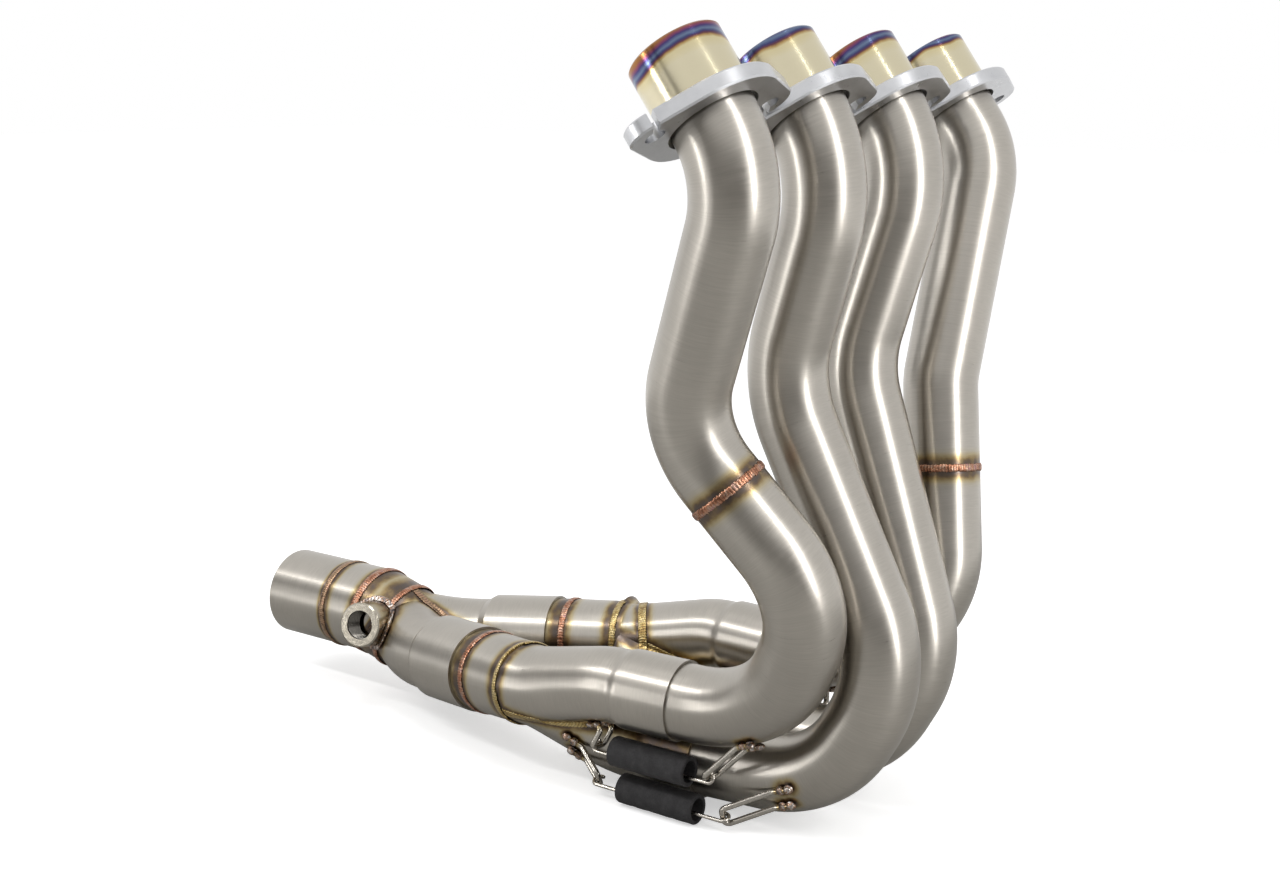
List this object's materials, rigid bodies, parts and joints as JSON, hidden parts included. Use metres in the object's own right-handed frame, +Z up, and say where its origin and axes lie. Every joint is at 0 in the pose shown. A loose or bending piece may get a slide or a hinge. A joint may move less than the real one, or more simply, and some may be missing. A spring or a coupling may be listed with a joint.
{
  "type": "motorcycle exhaust header",
  "caption": "Stainless exhaust header that joins the ports of an inline motorcycle engine into one outlet through two stages of merge collectors.",
  "frame": {"origin": "middle of the row of exhaust ports, on the line through the four spigot mouths", "axes": "+X to the front of the motorcycle, +Y to its left, +Z up as mounted on the engine"},
  "size_m": [0.4321, 0.3142, 0.3843],
  "materials": {
    "tube": "brushed stainless steel tube",
    "weld": "heat coloured weld bead, straw to copper",
    "spigot": "turned stainless, straw tint with a blue heat band",
    "flange": "machined cast plate, satin",
    "bung": "turned stainless",
    "hook": "bent stainless wire with brown weld tint",
    "spring": "bright spring wire",
    "sleeve": "matt black, finely ribbed"
  },
  "bodies": {
    "header": {"far_collector_cone": "tube", "far_collector_leg_lower": "tube", "far_collector_leg_upper": "tube", "far_collector_pie": "tube", "far_collector_pie_weld": "weld", "far_collector_ring_weld": "weld", "far_collector_seam_weld": "weld", "far_collector_slip_tube": "tube", "far_collector_slip_weld": "weld", "final_collector_body": "tube", "final_collector_bung": "bung", "final_collector_bung_weld": "weld", "final_collector_leg_far": "tube", "final_collector_leg_near": "tube", "final_collector_legs_weld": "weld", "final_collector_outlet_tube": "tube", "final_collector_outlet_weld": "weld", "final_collector_seam_weld": "weld", "final_collector_wedge": "tube", "final_collector_wedge_weld": "weld", "head_hook_1": "hook", "head_hook_2": "hook", "head_hook_3": "hook", "head_hook_4": "hook", "head_pipe_1_lower": "tube", "head_pipe_1_upper": "tube", "head_pipe_1_weld": "weld", "head_pipe_2": "tube", "head_pipe_3": "tube", "head_pipe_4_lower": "tube", "head_pipe_4_upper": "tube", "head_pipe_4_weld": "weld", "leg_hook_1": "hook", "leg_hook_2": "hook", "leg_hook_3": "hook", "leg_hook_4": "hook", "near_collector_cone": "tube", "near_collector_leg_lower": "tube", "near_collector_leg_upper": "tube", "near_collector_ring_weld": "weld", "near_collector_seam_weld": "weld", "near_collector_slip_tube": "tube", "near_collector_slip_weld": "weld", "port_spigot_1": "spigot", "port_spigot_2": "spigot", "port_spigot_3": "spigot", "port_spigot_4": "spigot", "sleeve_1": "sleeve", "sleeve_2": "sleeve", "sleeve_3": "sleeve", "sleeve_4": "sleeve", "spring_1": "spring", "spring_2": "spring", "spring_3": "spring", "spring_4": "spring"},
    "flange_1": {"port_flange_1": "flange"},
    "flange_2": {"port_flange_2": "flange"},
    "flange_3": {"port_flange_3": "flange"},
    "flange_4": {"port_flange_4": "flange"}
  },
  "joints": [
    {"name": "flange_1_swivel", "type": "hinge", "parent": "header", "child": "flange_1", "pos_m": [0.01802, -0.117, -0.02498], "axis": [0.585, 0, -0.8111], "range_deg": [-6, 90]},
    {"name": "flange_2_swivel", "type": "hinge", "parent": "header", "child": "flange_2", "pos_m": [0.01802, -0.039, -0.02498], "axis": [0.585, 0, -0.8111], "range_deg": [-6, 90]},
    {"name": "flange_3_swivel", "type": "hinge", "parent": "header", "child": "flange_3", "pos_m": [0.01802, 0.039, -0.02498], "axis": [0.585, 0, -0.8111], "range_deg": [-6, 90]},
    {"name": "flange_4_swivel", "type": "hinge", "parent": "header", "child": "flange_4", "pos_m": [0.01802, 0.117, -0.02498], "axis": [0.585, 0, -0.8111], "range_deg": [-6, 90]}
  ]
}
